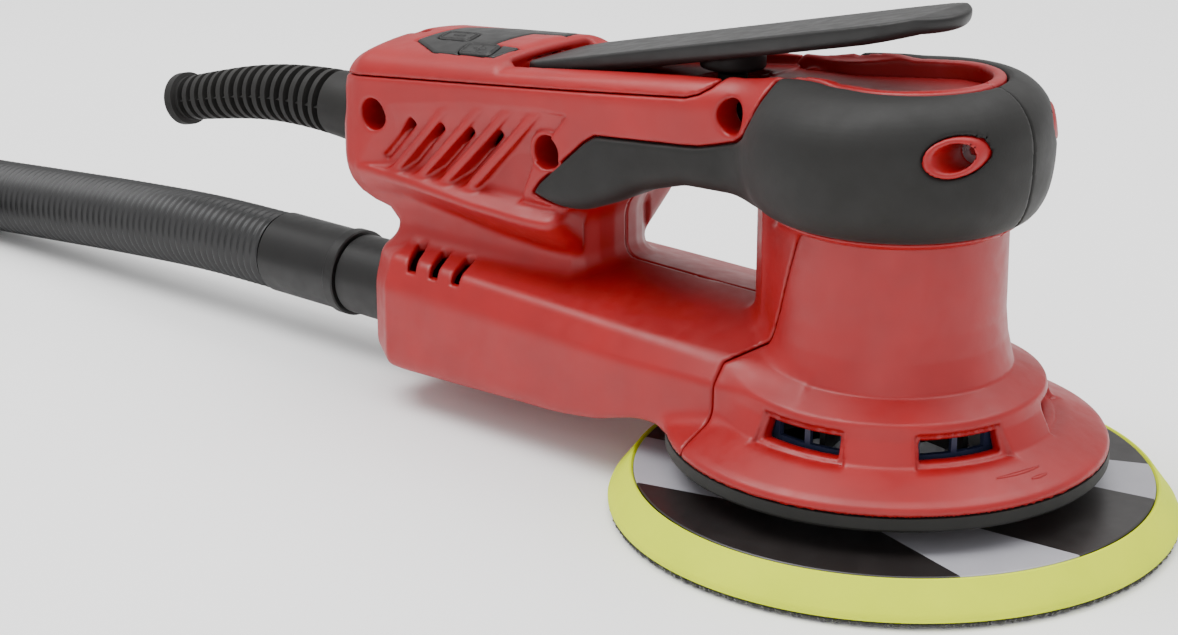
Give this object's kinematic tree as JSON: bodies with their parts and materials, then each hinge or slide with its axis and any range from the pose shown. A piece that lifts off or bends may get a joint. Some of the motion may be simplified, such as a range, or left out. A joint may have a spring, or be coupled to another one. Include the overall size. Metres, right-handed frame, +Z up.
{
  "type": "dual action polisher",
  "caption": "Corded dual action polisher with a round foam backing pad on an eccentric drive, a bar handle over a dust channel, a paddle lever and a dust extraction hose.",
  "frame": {"origin": "centre of the pad's working face, on the surface the machine stands on", "axes": "+X from the handle's rear towards the head, +Y to the machine's left, +Z up along the drive axis; the drive axis stands 2.5 mm behind the origin"},
  "size_m": [0.6119, 0.326, 0.1342],
  "materials": {
    "red_plastic": "satin, fine texture",
    "black_rubber": "soft matt",
    "black_plastic": "satin",
    "navy_plastic": "satin",
    "steel": "machined",
    "laminated_steel": "laminated",
    "copper": null,
    "aluminium": "cast",
    "circuit_board": "satin",
    "yellow_foam": "fine open-cell foam",
    "label": "satin film",
    "lens": "gloss",
    "magnet": "nickel plated",
    "hook_fabric": "short hooks"
  },
  "bodies": {
    "root": {"housing_right": "red_plastic", "housing_left": "red_plastic", "front_shroud": "red_plastic", "top_cover": "red_plastic", "grip_right": "black_rubber", "grip_left": "black_rubber", "skirt_ring": "black_rubber", "strain_relief": "black_rubber", "dust_hose": "black_rubber", "control_panel": "black_plastic", "lever_switch": "black_plastic", "cord_clamp": "black_plastic", "dust_port": "black_plastic", "hose_cuff": "black_plastic", "hose_end_cuff": "black_plastic", "louvre_ring": "navy_plastic", "capacitor": "navy_plastic", "lower_bearing": "steel", "upper_bearing": "steel", "lever_pin": "steel", "lever_spring": "steel", "case_screw_rear": "steel", "case_screw_middle": "steel", "case_screw_front": "steel", "case_screw_head": "steel", "cover_screw": "steel", "stator_core": "laminated_steel", "lower_winding": "copper", "upper_winding": "copper", "motor_frame": "aluminium", "bearing_bridge": "aluminium", "controller_board": "circuit_board", "button_board": "circuit_board", "status_lens": "lens"},
    "drive": {"motor_shaft": "steel", "rotor_core": "laminated_steel", "magnet_ring": "magnet", "dust_fan": "black_plastic", "eccentric_hub": "aluminium", "pad_bearing": "steel"},
    "pad": {"hook_face": "hook_fabric", "foam_pad": "yellow_foam", "pad_plate": "label", "pad_spindle": "steel"},
    "lever": {"lever": "black_plastic"},
    "plunger": {"switch_plunger": "black_plastic"},
    "plus_button": {"plus_button": "black_plastic"},
    "minus_button": {"minus_button": "black_plastic"}
  },
  "joints": [
    {"name": "drive_spin", "type": "hinge", "parent": "root", "child": "drive", "pos_m": [-0.0025, 0, 0], "axis": [0, 0, 1], "continuous": true},
    {"name": "pad_spin", "type": "hinge", "parent": "drive", "child": "pad", "pos_m": [0, 0, 0], "axis": [0, 0, 1], "continuous": true},
    {"name": "lever_press", "type": "hinge", "parent": "root", "child": "lever", "pos_m": [-0.1085, 0, 0.099], "axis": [0, 1, 0], "range_deg": [0, 4.5], "stiffness_Nm_per_rad": 6, "springref_deg": -3.44},
    {"name": "plunger_slide", "type": "slide", "parent": "root", "child": "plunger", "axis": [0, 0, -1], "range_m": [0, 0.00424]},
    {"name": "plus_press", "type": "slide", "parent": "root", "child": "plus_button", "axis": [0, 0, -1], "range_m": [0, 0.0008], "stiffness_N_per_m": 1500, "springref_m": -0.0004},
    {"name": "minus_press", "type": "slide", "parent": "root", "child": "minus_button", "axis": [0, 0, -1], "range_m": [0, 0.0008], "stiffness_N_per_m": 1500, "springref_m": -0.0004}
  ],
  "couplings": [
    {"joint": "plunger_slide", "follows": "lever_press", "m_per_rad": 0.054}
  ]
}
